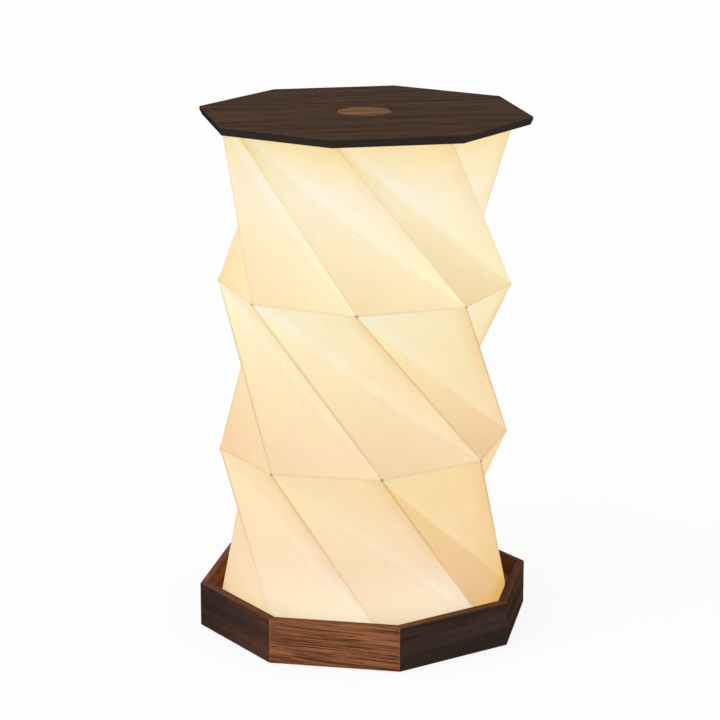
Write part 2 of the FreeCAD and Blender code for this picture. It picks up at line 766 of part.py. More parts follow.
def make_pod():
    """The octagonal cup under the lid that carries the switch, flanged for its screws."""
    body = new_body("switch_pod")
    octagon(body, "pod_flange", POD_FLANGE, "-sizes.pod_lip", "sizes.pod_lip")
    octagon(body, "pod_cup", POD_APOTHEM, f"-{POD_DEPTH}", POD_DEPTH)
    depth = f"({POD_DEPTH} - sizes.pod_floor)"
    octagon(body, "pod_bore", POD_BORE, f"-{depth}", depth, cut=True)
    hole = new_sketch(body, "XY_Plane", "pod_screw_hole", POD_SCREW_REACH)
    circle(hole, "0", "0", "sizes.pod_screw_radius + sizes.screw_gap")
    polar(body, pocket(body, hole), POD_SCREWS)
    lead = new_sketch(body, "XY_Plane", "pod_lead_hole", f"-{LEAD_HOLE_REACH}")
    circle(lead, "0", "0", "sizes.lead_hole_radius")
    pocket(body, lead)
    on_lid(body)


def make_pod_screws():
    """Pan-head screws from under the pod's flange into the lid."""
    head = "(-sizes.pod_lip - sizes.pod_screw_cap)"
    body, screw = turned("pod_screws", [
        ("0", head),
        ("sizes.pod_screw_head", head),
        ("sizes.pod_screw_head", "-sizes.pod_lip"),
        ("sizes.pod_screw_radius", "-sizes.pod_lip"),
        ("sizes.pod_screw_radius", "sizes.pod_screw_grip"),
        ("0", "sizes.pod_screw_grip"),
    ], POD_SCREW_REACH)
    polar(body, screw, POD_SCREWS)
    on_lid(body)


def make_switch():
    """The switch board on the pod's floor, the push switch on it and the switch's plunger."""
    board = new_body("switch_board")
    board_apothem = f"({POD_BORE} - sizes.fit_gap)"
    octagon(board, "switch_board_plate", board_apothem, "0", "sizes.switch_board_thickness")
    lead = new_sketch(board, "XY_Plane", "switch_lead_hole", f"-{LEAD_HOLE_REACH}")
    circle(lead, "0", "0", "sizes.lead_hole_radius")
    pocket(board, lead)
    on_lid(board, f"sizes.pod_floor - {POD_DEPTH}")
    switch = new_body("tact_switch")
    square = new_sketch(switch, "XY_Plane", "switch_plan")
    middle_rectangle(square, "0", "0", "sizes.switch_side", "sizes.switch_side")
    solid = pad(switch, square, "sizes.switch_height")
    soften(switch, "Chamfer", solid, edge_names(solid, is_upright), {"Size": "sizes.switch_corner"})
    bore = new_sketch(switch, "XY_Plane", "plunger_bore")
    bind(bore, {"AttachmentOffset.Base.z": "sizes.switch_height"})
    circle(bore, "0", "0", "sizes.plunger_radius + sizes.plunger_gap")
    pocket(switch, bore, "sizes.plunger_hold + sizes.button_travel + sizes.plunger_gap")
    on_lid(switch, f"{SWITCH_FLOOR} - {POD_DEPTH}")
    reach = "(sizes.plunger_hold + sizes.press_gap + sizes.button_travel)"
    plunger, _ = turned("switch_plunger", [
        ("0", "0"),
        ("sizes.plunger_radius", "0"),
        ("sizes.plunger_radius", reach),
        ("0", reach),
    ])
    on_lid(plunger, f"{SWITCH_TOP} - sizes.plunger_hold - {POD_DEPTH}")


def make_button():
    """The flush wooden cap and the carrier whose octagonal flange keeps it in the lid and from turning."""
    cap, turn = turned("button_cap", [
        ("0", "0"),
        ("sizes.button_radius", "0"),
        ("sizes.button_radius", CAP_THICKNESS),
        ("0", CAP_THICKNESS),
    ])
    top = level_face(turn, value(CAP_THICKNESS))
    soften(cap, "Chamfer", turn, [top], {"Size": "sizes.button_edge"})
    on_lid(cap, CAP_FLOOR)
    carrier = new_body("button_carrier")
    low = "(-sizes.carrier_gap - sizes.carrier_flange)"
    octagon(carrier, "carrier_flange", CARRIER_APOTHEM, low, "sizes.carrier_flange")
    spigot = "(sizes.button_radius - sizes.spigot_inset)"
    octagon(carrier, "carrier_spigot", spigot, low, f"{CAP_FLOOR} - {low}")
    on_lid(carrier)


def check_document():
    """Stops before anything is written if a feature failed or a piece has no sound shape."""
    doc.recompute()
    for thing in doc.Objects:
        if "Invalid" in thing.State or "Error" in thing.State:
            raise RuntimeError(f"{thing.Name} failed: {thing.State}")
    for piece in pieces:
        if piece.Shape.isNull() or not piece.Shape.isValid() or not piece.Shape.Solids:
            raise RuntimeError(f"{piece.Label} has no sound shape")


for stave in range(1, SIDES + 1):
    make_stave(stave)
make_bottom_panel()
make_feet()
make_bottom_screws()
make_deck()
make_light()
make_cell()
make_control_board()
make_board_screws()
make_board_parts()
make_charge_socket()
make_grommet()
make_shade()
make_lid()
make_pod()
make_pod_screws()
make_switch()
make_button()
check_document()

os.makedirs("parts", exist_ok=True)
for piece in pieces:
    piece.Shape.exportStep(f"parts/{piece.Label}.step")
    extent = piece.Shape.BoundBox
    solids = len(piece.Shape.Solids)
    print(f"{piece.Label}: {solids} solid(s), z {extent.ZMin:.2f} to {extent.ZMax:.2f}")
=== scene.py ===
"""Looks of the folding table lamp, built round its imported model.

Metres, +Z up. The tray's front faces -Y. Colours of wood and stain are given as the values that a picture
shows, 0 to 255, and all other colours in linear light.
"""

import math

import bmesh
import bpy
from mathutils import Matrix, Vector


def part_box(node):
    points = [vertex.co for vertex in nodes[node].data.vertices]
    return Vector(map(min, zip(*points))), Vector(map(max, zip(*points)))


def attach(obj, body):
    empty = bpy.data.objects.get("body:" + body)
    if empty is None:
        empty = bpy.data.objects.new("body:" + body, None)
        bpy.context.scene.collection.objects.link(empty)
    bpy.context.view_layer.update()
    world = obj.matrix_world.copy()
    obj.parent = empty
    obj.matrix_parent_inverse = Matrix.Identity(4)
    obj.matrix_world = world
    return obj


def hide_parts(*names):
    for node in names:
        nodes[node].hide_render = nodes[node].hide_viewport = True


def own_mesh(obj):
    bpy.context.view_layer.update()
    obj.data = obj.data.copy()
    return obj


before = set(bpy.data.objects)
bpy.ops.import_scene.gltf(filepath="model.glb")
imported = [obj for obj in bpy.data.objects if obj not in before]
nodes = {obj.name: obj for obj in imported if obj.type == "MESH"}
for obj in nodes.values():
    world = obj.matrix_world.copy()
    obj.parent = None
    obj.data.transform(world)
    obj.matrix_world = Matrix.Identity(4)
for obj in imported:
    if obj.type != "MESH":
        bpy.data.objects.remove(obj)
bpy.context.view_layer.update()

UP = (0.0, 0.0, 1.0)
LEVEL = (1.0, 1.0, 0.0)

# How the sheet is folded
SIDES = 8
TIERS = 3
PITCH = 360 / SIDES
OPEN_TWIST = 52.5
GLUE_FLANGE = 0.009
SEAM_SIDE = 5
SEAM_LAP = 0.14
GLUE_GAP = 0.0001
WELD_REACH = 1e-6
# How softly a panel bends along its valley, from the lowest tier up
VALLEY_SOFTNESS = (0.16, 0.15, 0.26)
# The paper gives a little under its own weight: each ring's extra turn, sag and lean, from the deck up
RING_TURN = (-5.0, 2.4, 0.3, 0.0)
RING_SAG = (0.0, 0.0022, 0.0012, 0.0)
RING_LEAN = (0.0, 0.0029, 0.0, 0.0)
# How far the paper bows out between its corners, where it stands in the tray
FOOT_BOW = 0.0042
# Where the sheet is divided between two creases, finer beside them
HALF_STOPS = (0.0, 0.012, 0.035, 0.08, 0.15, 0.23, 0.32, 0.41)
STOPS = HALF_STOPS + (0.5,) + tuple(1 - stop for stop in reversed(HALF_STOPS))

shade_low, shade_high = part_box("shade")
SHADE_RADIUS = shade_high.x
TIER_HEIGHT = (shade_high.z - shade_low.z) / TIERS
CHORD = 2 * SHADE_RADIUS * math.sin(math.radians(PITCH / 2))
APOTHEM = SHADE_RADIUS * math.cos(math.radians(PITCH / 2))
MOUNTAIN = math.hypot(TIER_HEIGHT, 2 * SHADE_RADIUS * math.sin(math.radians(OPEN_TWIST / 2)))
VALLEY = math.hypot(TIER_HEIGHT, 2 * SHADE_RADIUS * math.sin(math.radians((OPEN_TWIST + PITCH) / 2)))
# A panel laid flat is a parallelogram: how far its upper edge is set over, and how high it is
FLAT_SHIFT = (MOUNTAIN ** 2 + CHORD ** 2 - VALLEY ** 2) / (2 * CHORD)
FLAT_HEIGHT = math.sqrt(MOUNTAIN ** 2 - FLAT_SHIFT ** 2)

# Tray and its screws
stave_low, stave_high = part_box("rim_stave_1")
STAVE_LENGTH = stave_high.x - stave_low.x
STAVE_MIDDLE = (stave_low.y + stave_high.y) / 2
screws_low, screws_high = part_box("bottom_screws")
SCREW_HEAD_RADIUS = 0.0028
RECESS_LENGTH = 0.0032
RECESS_WIDTH = 0.0009
RECESS_DEPTH = 0.0011

# Painted glow and shade of the lit paper at the corners of its triangles, and how it changes from foot to
# lid, with painted shade under the lid
UPPER_START = (0.57, 0.53, 0.48)
UPPER_TIP = (0.62, 0.56, 0.39)
UPPER_FAR = (0.58, 0.48, 0.31)
LOWER_TIP = (0.57, 0.54, 0.43)
LOWER_NEAR = (0.50, 0.34, 0.15)
LOWER_FAR = (0.55, 0.45, 0.27)
HEIGHT_TINT = [
    (0.0, (0.91, 0.73, 0.85, 1)),
    (0.31, (0.94, 0.72, 0.39, 1)),
    (0.36, (0.90, 0.70, 0.57, 1)),
    (0.62, (0.95, 0.91, 0.69, 1)),
    (0.88, (0.98, 0.98, 0.99, 1)),
    (1.0, (1.03, 0.865, 0.38, 1)),
]
# Painted light, as if the light sat off the middle: the foot is pale towards this side, in degrees, and
# amber away from it, where panels also take painted amber shade
LIGHT_SIDE = -12
FACING_RANGE = (0.15, 0.80)
FOOT_LIGHT = (0.085, 0.14, 0.11, 1)
FOOT_AMBER = (1.0, 0.885, 0.47, 1)
FOOT_WARM = (0.20, 0.13, 0.0, 1)
AMBER_UPPER = (1.03, 0.96, 0.66, 1)
AMBER_LOWER = (0.95, 0.74, 0.22, 1)
HIGH_UPPER = (0.99, 0.995, 0.90, 1)
HIGH_LOWER = (1.05, 0.975, 0.74, 1)
# How a panel's two colours meet at its valley: softness low and high, least width and drift
COLOUR_SOFTNESS = (0.18, 0.32)
COLOUR_WIDTH = 0.012
COLOUR_DRIFT = 0.2
# Painted highlight at a valley's start: what it adds to the paper above it, and where
VALLEY_HIGHLIGHT = (0.0, 0.022, 0.075, 1)
HIGHLIGHT_OFFSET = 0.05
HIGHLIGHT_WIDTH = 0.15
HIGHLIGHT_ACROSS = (0.1, 0.6)
# Painted shade beside a mountain fold: its colour, how far and where it reaches; then what the painted
# shade of the folds and seam, and the pricks, take from the paper
MOUNTAIN_SHADE_GLOW = (0.48, 0.24, 0.04, 1)
MOUNTAIN_SHADE_SHARE = 0.6
MOUNTAIN_SHADE_WIDTH = 0.20
MOUNTAIN_SHADE_UP = (0.2, 0.7)
MOUNTAIN_SHADE_BY_LID = 0.4
FOLD_SHADE_AND_SEAM_TINT = (0.80, 0.69, 0.60, 1)
PRICK_TINT = (0.46, 0.34, 0.24, 1)
# Heights, counted in tiers from the deck, between which the paper's look changes
SOFTER_RISE = (1.8, 2.2)
HIGH_TINT_RISE = (0.7, 1.4)
FOOT_LIGHT_RISE = (0.08, 0.42)
FOOT_AMBER_RISE = (0.1, 0.6)
FOOT_WARM_RISE = (0.0, 0.17)
VALLEY_HIGHLIGHT_RISE = (0.95, 1.2)
MOUNTAIN_SHADE_RISE = (1.7, 2.4)
LID_CREASE_RISE = (1.6, 2.3)
TRAY_CREASE_RISE = (0.1, 0.7)
# Painted shade along the folds, the seam's own line and dimming, and the pricks: half widths as shares of a
# panel, depths, and the radii of a prick
MOUNTAIN_WIDTH = 0.028
MOUNTAIN_DEPTH = 0.95
RING_WIDTH = 0.014
RING_DEPTH = 0.3
SEAM_WIDTH = 0.022
SEAM_DIMMING = 0.13
PRICK_RADII = (0.0003, 0.0015)
PRICK_DEPTH = 0.9
# What is left of a mountain fold's painted shade line by the lid, by the tray and at its own foot, and that
# foot's height
LID_CREASE = 0.32
TRAY_CREASE = 0.35
FOOT_CREASE = 0.4
CREASE_FOOT = 0.25
# The unlit sheet, how its fibres and clouds vary the light, and the cycles per metre of its pattern
PAPER_DARK = (0.42, 0.385, 0.295, 1)
PAPER_LIGHT = (0.46, 0.425, 0.335, 1)
FIBRE_LIGHT = (0.965, 1.035)
CLOUD_LIGHT = (0.975, 1.025)
CLOUD_SCALE = 45.0
FELT_SCALE = (700.0, 2300.0, 1.0)
THREAD_SCALE = (260.0, 1500.0, 1.0)
FELT_SHARE = 0.6

# A noise pattern seldom leaves this range
NOISE_RANGE = (0.3, 0.7)

# Grain of the wood, in cycles per metre along a board and across it
SWAY_GRAIN = (14.0, 60.0)
BAND_GRAIN = (9.0, 190.0)
LINE_GRAIN = (22.0, 2200.0)
FLECK_GRAIN = (150.0, 2600.0)
PORE_GRAIN = (110.0, 2000.0)
FLECK_SHARE = 0.15
GRAIN_RANGE = (0.40, 0.60)
PORE_RANGE = (0.54, 0.64)
# Where each board is cut from the same pattern, for a shift of 1
BOARD_SHIFT = (1.0, 0.37, 0.61)
STAVE_SHIFT = 0.13
# Tones of a board's parts, as shares of its own colours: painted glow on a stave's top and inside, painted
# shadow along the paper, pores, and paler edges from use and painted highlight
PAINTED_GLOW_TONES = (0.75, 1.25)
PAPER_SHADOW_TONE = 0.35
PORE_TONE = 0.45
RUBBED_RIM_HIGHLIGHT_TONE = 2.3
RUBBED_HIGHLIGHT_TONE = 1.6
# How much painted glow a stave's top takes, how strong the painted shadow on its inner edge is, and how far
# edges are eased
PAINTED_GLOW_TOP = 0.75
PAPER_SHADOW = 0.8
STAVE_EASE = 0.0018
CAP_EASE = 0.0016
# How far a surface agrees with a direction where it counts as a top, an inside, a lid's face or an edge
TOP_FACING = (0.5, 0.9)
INSIDE_FACING = (-0.8, -0.3)
LID_FACING = (0.4, 0.9)
EDGE_FACING = (0.82, 0.995)
# How softly the paler edges of a rim end, from use and painted highlight
WEAR_HIGHLIGHT_BLUR = 0.3
# Roughness of oiled wood, and its gloss, which a view along the surface loses
OIL_ROUGHNESS = (0.62, 0.50)
OIL_GLOSS = 0.08
OIL_LEAN = (0.3, 0.75)
PLAIN_GLOSS = 0.05

# The deck is stained outside this share of the sheet's inner radius
STAIN_FROM = 0.95
STAIN_BLUR = 0.0005

# How far the roughness of moulded surfaces varies, and of steel with its turned marks, in cycles per metre
SPECKLE_ROUGHNESS = 0.06
BRUSH_ROUGHNESS = (0.1, -0.08)
BRUSH_DARK = 0.8
BRUSH_SCALE = (2500.0, 300.0, 2500.0)

# Camera, fitted to the corners of the lid, the rings and the tray in the photograph
CAMERA_LENS = 131.4
CAMERA_SENSOR = 36
CAMERA_AZIMUTH = 10.76
CAMERA_ELEVATION = 14.76
CAMERA_DISTANCE = 1.5164
CAMERA_AIM = Vector((-0.0024, -0.0005, 0.1555))

# Stage: the floor's width, how much of its white is its own, and the surround's strength as light
FLOOR_SIZE = 60.0
FLOOR_WHITE = 0.88
SURROUND_LIGHT = 0.65


# Colours and node helpers

def colour(red, green, blue):
    """The linear colour that a picture shows as these values."""
    linear = []
    for part in (red, green, blue):
        part = part / 255
        linear.append(part / 12.92 if part <= 0.04045 else ((part + 0.055) / 1.055) ** 2.4)
    return (*linear, 1.0)


def scaled_tone(tone, level):
    """A colour made lighter or darker."""
    return tuple(min(1.0, level * part) for part in tone[:3]) + (1.0,)


def feed(socket, item):
    """Gives a node's input a link or a fixed value."""
    if isinstance(item, bpy.types.NodeSocket):
        socket.id_data.links.new(item, socket)
    else:
        socket.default_value = item


def maths(tree, operation, *terms):
    """One step of arithmetic."""
    made = tree.nodes.new("ShaderNodeMath")
    made.operation = operation
    for socket, term in zip(made.inputs, terms):
        feed(socket, term)
    return made.outputs[0]


def times(tree, first, *others):
    """The product of several numbers."""
    for other in others:
        first = maths(tree, "MULTIPLY", first, other)
    return first


def left_of_one(tree, item):
    """What a share leaves of 1."""
    return maths(tree, "SUBTRACT", 1.0, item)


def vector_maths(tree, operation, *terms):
    """One step of vector arithmetic."""
    made = tree.nodes.new("ShaderNodeVectorMath")
    made.operation = operation
    for socket, term in zip(made.inputs, terms):
        feed(socket, term)
    return made.outputs[0]


def vector_measure(tree, operation, *terms):
    """A number that is worked out from vectors."""
    return vector_maths(tree, operation, *terms).node.outputs["Value"]


def dot(tree, first, second):
    """How far two directions agree."""
    return vector_measure(tree, "DOT_PRODUCT", first, second)


def scaled(tree, tone, level):
    """A colour times a number."""
    made = tree.nodes.new("ShaderNodeVectorMath")
    made.operation = "SCALE"
    feed(made.inputs[0], tone)
    feed(made.inputs["Scale"], level)
    return made.outputs[0]


def shared(tree, shares):
    """The sum of several colours, each with its share."""
    total = None
    for share, tone in shares:
        part = scaled(tree, tone, share)
        total = vector_maths(tree, "ADD", total, part) if total else part
    return total


def spread(tree, item, low, high, start=0.0, end=1.0):
    """Eases a number from one range into another and holds it at the ends."""
    made = tree.nodes.new("ShaderNodeMapRange")
    made.interpolation_type = "SMOOTHSTEP"
    for socket, term in zip(made.inputs, (item, low, high, start, end)):
        feed(socket, term)
    return made.outputs[0]


def fade(tree, item, low, high, start=1.0):
    """Eases from a start down to 0 as a number goes through a range."""
    return spread(tree, item, low, high, start, 0.0)


def blend(tree, factor, first, second, mode="MIX"):
    """Mixes two colours."""
    made = tree.nodes.new("ShaderNodeMix")
    made.data_type = "RGBA"
    made.blend_type = mode
    feed(made.inputs["Factor"], factor)
    feed(made.inputs[6], first)
    feed(made.inputs[7], second)
    return made.outputs[2]


def ramp(tree, factor, stops):
    """A run of colours, each with its place."""
    made = tree.nodes.new("ShaderNodeValToRGB")
    elements = made.color_ramp.elements
    while len(elements) < len(stops):
        elements.new(0.5)
    for element, (place, tone) in zip(elements, stops):
        element.position = place
        element.color = tone
    feed(made.inputs[0], factor)
    return made.outputs[0]


def noise(tree, vector, scale=1.0, detail=2.0, roughness=0.5):
    """A soft random pattern from 0 to 1."""
    made = tree.nodes.new("ShaderNodeTexNoise")
    feed(made.inputs["Vector"], vector)
    feed(made.inputs["Scale"], scale)
    feed(made.inputs["Detail"], detail)
    feed(made.inputs["Roughness"], roughness)
    return made.outputs[0]


def object_place(tree):
    """The place on the model, in metres."""
    return tree.nodes.new("ShaderNodeTexCoord").outputs["Object"]


def level_place(tree):
    """The place on the model, seen from above."""
    return vector_maths(tree, "MULTIPLY", object_place(tree), LEVEL)


def stretched(tree, place, along, across):
    """A place counted in cycles, few of them along the grain and many across it."""
    return vector_maths(tree, "MULTIPLY", place, (along, across, across))


def split(tree, vector):
    """The parts of a vector."""
    made = tree.nodes.new("ShaderNodeSeparateXYZ")
    feed(made.inputs[0], vector)
    return made.outputs


def bump(tree, height, strength, distance, normal=None):
    """Surface relief from a height pattern."""
    made = tree.nodes.new("ShaderNodeBump")
    feed(made.inputs["Strength"], strength)
    feed(made.inputs["Distance"], distance)
    feed(made.inputs["Height"], height)
    if normal:
        feed(made.inputs["Normal"], normal)
    return made.outputs[0]


def eased_edges(tree, radius):
    """The surface's direction with its edges rounded over."""
    made = tree.nodes.new("ShaderNodeBevel")
    made.samples = 6
    feed(made.inputs["Radius"], radius)
    return made.outputs[0]


def new_object(name, data):
    """A new object in the scene."""
    made = bpy.data.objects.new(name, data)
    bpy.context.scene.collection.objects.link(made)
    return made


def new_mesh(name, work):
    """The mesh that a finished piece of work leaves."""
    made = bpy.data.meshes.new(name)
    work.to_mesh(made)
    work.free()
    return made


def new_material(name):
    """An empty material and its surface shader."""
    made = bpy.data.materials.new(name)
    made.use_nodes = True
    tree = made.node_tree
    return made, tree, tree.nodes["Principled BSDF"]


# Paper

def below_valley(tree, across, up, rise, beyond):
    """0 above a panel's valley and 1 below it: sharp at the valley's ends, and softest under the lid."""
    softness = spread(tree, rise, *SOFTER_RISE, *COLOUR_SOFTNESS)
    inner = times(tree, across, up)
    width = maths(tree, "MULTIPLY_ADD", inner, softness, COLOUR_WIDTH)
    middle = times(tree, inner, COLOUR_DRIFT)
    start = maths(tree, "SUBTRACT", middle, width)
    end = maths(tree, "ADD", middle, width)
    return spread(tree, beyond, start, end)


def triangle_glow(tree, across, up, beyond, lower):
    """The light through a panel's two triangles, each of which runs between its three corners."""
    upper_glow = shared(tree, [
        (left_of_one(tree, across), UPPER_START),
        (left_of_one(tree, up), UPPER_TIP),
        (maths(tree, "SUBTRACT", 0.0, beyond), UPPER_FAR),
    ])
    lower_glow = shared(tree, [(across, LOWER_FAR), (up, LOWER_TIP), (beyond, LOWER_NEAR)])
    return blend(tree, lower, upper_glow, lower_glow)


def turned_away(tree, rise, side):
    """How far a panel faces away from the light's side, from 0 to 1."""
    first_angle = math.radians(PITCH - OPEN_TWIST / 2 - LIGHT_SIDE)
    angle = maths(tree, "MULTIPLY_ADD", side, math.radians(PITCH), first_angle)
    turn = times(tree, maths(tree, "FLOOR", rise), math.radians(OPEN_TWIST))
    towards = maths(tree, "COSINE", maths(tree, "SUBTRACT", angle, turn))
    return fade(tree, towards, *FACING_RANGE)


def foot_glow(tree, glow, rise, lower, away):
    """Painted glow near the tray: pale towards the light's side, amber and warm away from it."""
    amber = times(tree, away, fade(tree, rise, *FOOT_AMBER_RISE), left_of_one(tree, lower))
    glow = blend(tree, amber, glow, FOOT_AMBER, "MULTIPLY")
    pale = times(tree, fade(tree, rise, *FOOT_LIGHT_RISE), left_of_one(tree, away))
    glow = blend(tree, pale, glow, FOOT_LIGHT, "ADD")
    warm = times(tree, fade(tree, rise, *FOOT_WARM_RISE), away)
    return blend(tree, warm, glow, FOOT_WARM, "ADD")


def fold_glow(tree, glow, across, up, rise, beyond):
    """Painted light beside the folds: a painted highlight where a valley starts, and painted shade beside a
    mountain below its ring.
    """
    # Painted highlight along the start of a valley
    from_valley = maths(tree, "ABSOLUTE", maths(tree, "ADD", beyond, HIGHLIGHT_OFFSET))
    pale = times(
        tree,
        fade(tree, from_valley, 0.0, HIGHLIGHT_WIDTH),
        fade(tree, across, *HIGHLIGHT_ACROSS),
        spread(tree, rise, *VALLEY_HIGHLIGHT_RISE),
    )
    glow = blend(tree, pale, glow, VALLEY_HIGHLIGHT, "ADD")
    # Painted shade beside a mountain fold, below its ring
    turned = times(
        tree,
        fade(tree, left_of_one(tree, across), 0.0, MOUNTAIN_SHADE_WIDTH, MOUNTAIN_SHADE_SHARE),
        spread(tree, up, *MOUNTAIN_SHADE_UP),
        spread(tree, rise, *MOUNTAIN_SHADE_RISE, 1.0, MOUNTAIN_SHADE_BY_LID),
    )
    return blend(tree, turned, glow, MOUNTAIN_SHADE_GLOW)


def paper_glow(tree, across, up, rise, side):
    """The light that comes through the sheet."""
    beyond = maths(tree, "SUBTRACT", left_of_one(tree, across), up)
    lower = below_valley(tree, across, up, rise, beyond)
    away = turned_away(tree, rise, side)
    glow = triangle_glow(tree, across, up, beyond, lower)
    height_tint = ramp(tree, maths(tree, "DIVIDE", rise, TIERS), HEIGHT_TINT)
    glow = blend(tree, 1.0, glow, height_tint, "MULTIPLY")
    high = spread(tree, rise, *HIGH_TINT_RISE)
    upper_tint = blend(tree, high, AMBER_UPPER, HIGH_UPPER)
    lower_tint = blend(tree, high, AMBER_LOWER, HIGH_LOWER)
    # Painted shade: panels that face away from the light's side turn deeper amber
    glow = blend(tree, away, glow, blend(tree, lower, upper_tint, lower_tint), "MULTIPLY")
    glow = foot_glow(tree, glow, rise, lower, away)
    return fold_glow(tree, glow, across, up, rise, beyond)


def fold_shade_and_pricks(tree, across, up, rise):
    """Painted shade lines on the mountain folds and rings, and the pricks where they meet, each from 0 to
    1.
    """
    from_mountain = maths(tree, "MINIMUM", across, left_of_one(tree, across))
    from_ring = maths(tree, "MINIMUM", up, left_of_one(tree, up))
    # A mountain fold's painted shade shows less towards the lid, at its own foot and towards the tray
    depth = times(
        tree,
        spread(tree, rise, *LID_CREASE_RISE, 1.0, LID_CREASE),
        spread(tree, up, 0.0, CREASE_FOOT, FOOT_CREASE, 1.0),
        spread(tree, rise, *TRAY_CREASE_RISE, TRAY_CREASE, 1.0),
    )
    mountain = times(tree, fade(tree, from_mountain, 0.0, MOUNTAIN_WIDTH, MOUNTAIN_DEPTH), depth)
    ring = fade(tree, from_ring, 0.0, RING_WIDTH, RING_DEPTH)
    reach = maths(
        tree, "ADD",
        maths(tree, "POWER", times(tree, from_mountain, CHORD), 2.0),
        maths(tree, "POWER", times(tree, from_ring, FLAT_HEIGHT), 2.0),
    )
    prick = fade(tree, maths(tree, "SQRT", reach), *PRICK_RADII, PRICK_DEPTH)
    return maths(tree, "MAXIMUM", mountain, ring), prick


def paper_fibre(tree, place):
    """Felted fibres and faint clouds of the sheet, each from 0 to 1."""
    clouds = noise(tree, place, CLOUD_SCALE, detail=3.0, roughness=0.6)
    felt = noise(tree, vector_maths(tree, "MULTIPLY", place, FELT_SCALE), detail=3.0, roughness=0.65)
    threads = noise(tree, vector_maths(tree, "MULTIPLY", place, THREAD_SCALE))
    fibre = maths(tree, "ADD", times(tree, felt, FELT_SHARE), times(tree, threads, 1 - FELT_SHARE))
    return fibre, clouds


def paper_layers(tree, around, fibre, clouds):
    """How much light the sheet lets through, and the edge of its seam, from 0 to 1."""
    let_through = times(
        tree,
        spread(tree, fibre, *NOISE_RANGE, *FIBRE_LIGHT),
        spread(tree, clouds, *NOISE_RANGE, *CLOUD_LIGHT),
    )
    # The sheet's two ends lap at the back, and two layers let less light out
    lap = maths(tree, "SUBTRACT", around, SEAM_SIDE)
    in_lap = times(tree, maths(tree, "GREATER_THAN", lap, 0.0), maths(tree, "LESS_THAN", lap, SEAM_LAP))
    let_through = times(tree, let_through, maths(tree, "MULTIPLY_ADD", in_lap, -SEAM_DIMMING, 1.0))
    seam = fade(tree, maths(tree, "ABSOLUTE", lap), 0.0, SEAM_WIDTH)
    return let_through, seam


def with_fold_shade(tree, tone, fold_shade_and_seam, prick):
    """A colour with painted shade along the folds, the seam's own line, and the pricks in it."""
    tone = blend(tree, fold_shade_and_seam, tone, FOLD_SHADE_AND_SEAM_TINT, "MULTIPLY")
    return blend(tree, prick, tone, PRICK_TINT, "MULTIPLY")


def layout(tree, name):
    """A place in one of the sheet's two layouts: within its panel, or on the flat sheet."""
    made = tree.nodes.new("ShaderNodeUVMap")
    made.uv_map = name
    return made.outputs[0]


def paper():
    """Translucent paper lit from inside, with its glow painted: a painted highlight along its valleys,
    painted shade below them and along its folds.
    """
    made, tree, shader = new_material("shade_paper")
    across, up, _ = split(tree, layout(tree, "fold"))
    flat = layout(tree, "sheet")
    flat_across, flat_up, _ = split(tree, flat)
    rise = maths(tree, "DIVIDE", flat_up, FLAT_HEIGHT)
    # How many panels round the sheet, its slant taken out
    around = maths(tree, "DIVIDE", maths(tree, "MULTIPLY_ADD", rise, -FLAT_SHIFT, flat_across), CHORD)
    side = maths(tree, "ROUND", maths(tree, "SUBTRACT", around, across))

    fibre, clouds = paper_fibre(tree, flat)
    let_through, seam = paper_layers(tree, around, fibre, clouds)
    fold_shade_and_seam, prick = fold_shade_and_pricks(tree, across, up, rise)
    # Painted shade along the folds, joined with the seam's own line
    fold_shade_and_seam = maths(tree, "MAXIMUM", fold_shade_and_seam, seam)
    glow = scaled(tree, paper_glow(tree, across, up, rise, side), let_through)
    feed(shader.inputs["Emission Color"], with_fold_shade(tree, glow, fold_shade_and_seam, prick))
    shader.inputs["Emission Strength"].default_value = 1.0

    tone = blend(tree, spread(tree, fibre, *NOISE_RANGE), PAPER_DARK, PAPER_LIGHT)
    feed(shader.inputs["Base Color"], with_fold_shade(tree, tone, fold_shade_and_seam, prick))
    shader.inputs["Roughness"].default_value = 0.82
    shader.inputs["Specular IOR Level"].default_value = 0.1
    feed(shader.inputs["Normal"], bump(tree, fibre, strength=0.25, distance=0.0002))
    return made


# Wood

def board_place(tree, turn, slant):
    """The place in a board's own axes, the first of which runs along its grain."""
    turned = tree.nodes.new("ShaderNodeMapping")
    feed(turned.inputs["Vector"], object_place(tree))
    level = Matrix.Rotation(-math.radians(slant), 3, "Y") @ Matrix.Rotation(-math.radians(turn), 3, "Z")
    turned.inputs["Rotation"].default_value = level.to_euler("XYZ")
    return turned.outputs[0]


def swayed(tree, place, wave):
    """A place whose grain wanders a little from side to side."""
    sway = noise(tree, stretched(tree, place, *SWAY_GRAIN))
    sway = times(tree, maths(tree, "SUBTRACT", sway, 0.5), 2 * wave)
    offset = tree.nodes.new("ShaderNodeCombineXYZ")
    feed(offset.inputs[1], sway)
    feed(offset.inputs[2], sway)
    return vector_maths(tree, "ADD", place, offset.outputs[0])


def wood_grain(tree, place, shift, wave, band_share):
    """Grain that runs along a board, its streaks and its short pores, each from 0 to 1."""
    place = vector_maths(tree, "ADD", place, tuple(shift * part for part in BOARD_SHIFT))
    place = swayed(tree, place, wave)
    bands = noise(tree, stretched(tree, place, *BAND_GRAIN))
    lines = noise(tree, stretched(tree, place, *LINE_GRAIN), roughness=0.55)
    flecks = noise(tree, stretched(tree, place, *FLECK_GRAIN), detail=1.0)
    streaks = maths(tree, "MULTIPLY_ADD", flecks, FLECK_SHARE, times(tree, lines, 1 - FLECK_SHARE))
    pores = spread(tree, noise(tree, stretched(tree, place, *PORE_GRAIN)), *PORE_RANGE)
    grain = maths(tree, "MULTIPLY_ADD", bands, band_share, times(tree, streaks, 1 - band_share))
    return grain, streaks, pores


